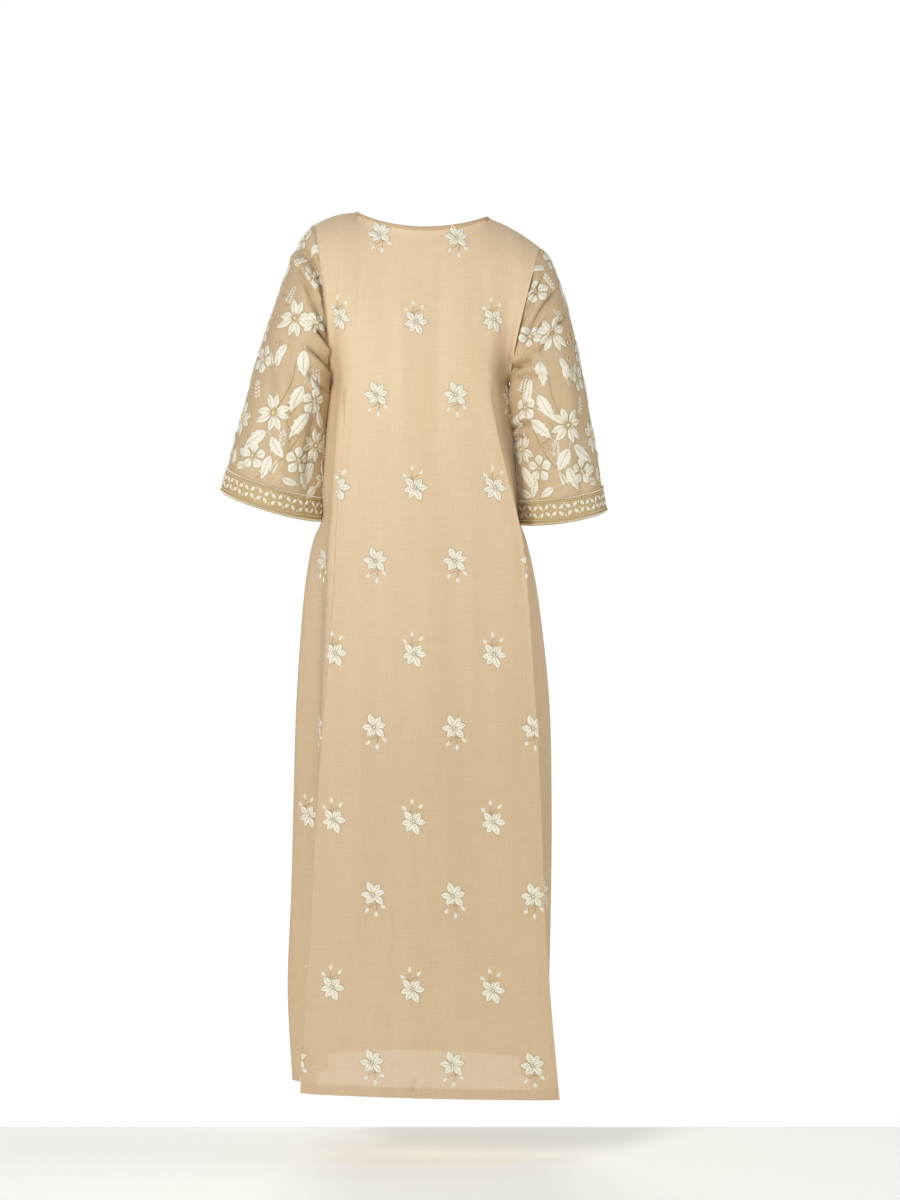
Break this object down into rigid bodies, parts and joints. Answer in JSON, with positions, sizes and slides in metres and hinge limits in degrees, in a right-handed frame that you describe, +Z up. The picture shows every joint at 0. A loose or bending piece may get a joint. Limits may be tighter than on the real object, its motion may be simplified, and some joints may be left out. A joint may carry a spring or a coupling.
{
  "type": "thobe robe",
  "caption": "Full-length hollow thobe robe as worn, A-line body with a wide scooped neck, flared three-quarter sleeves and embroidered cuff borders.",
  "frame": {"origin": "middle of the neck, at the height where the wearer's shoulders hold the robe", "axes": "+Z up, front towards -Y, the wearer's left towards +X"},
  "size_m": [0.6457, 0.306, 1.4549],
  "materials": {
    "sprig_cloth": "plain-woven slub silk-cotton with small embroidered sprigs, soft sheen",
    "sleeve_cloth": "the same cloth with large ivory and gold embroidery",
    "border_cloth": "dense embroidered border between two gold metal-thread cords",
    "binding_cloth": "bias-cut binding of the body's cloth"
  },
  "bodies": {
    "root": {"back_panel": "sprig_cloth", "front_panel": "sprig_cloth", "sleeve_left": "sleeve_cloth", "sleeve_right": "sleeve_cloth", "cuff_border_left": "border_cloth", "cuff_border_right": "border_cloth", "neck_binding": "binding_cloth"}
  },
  "joints": []
}
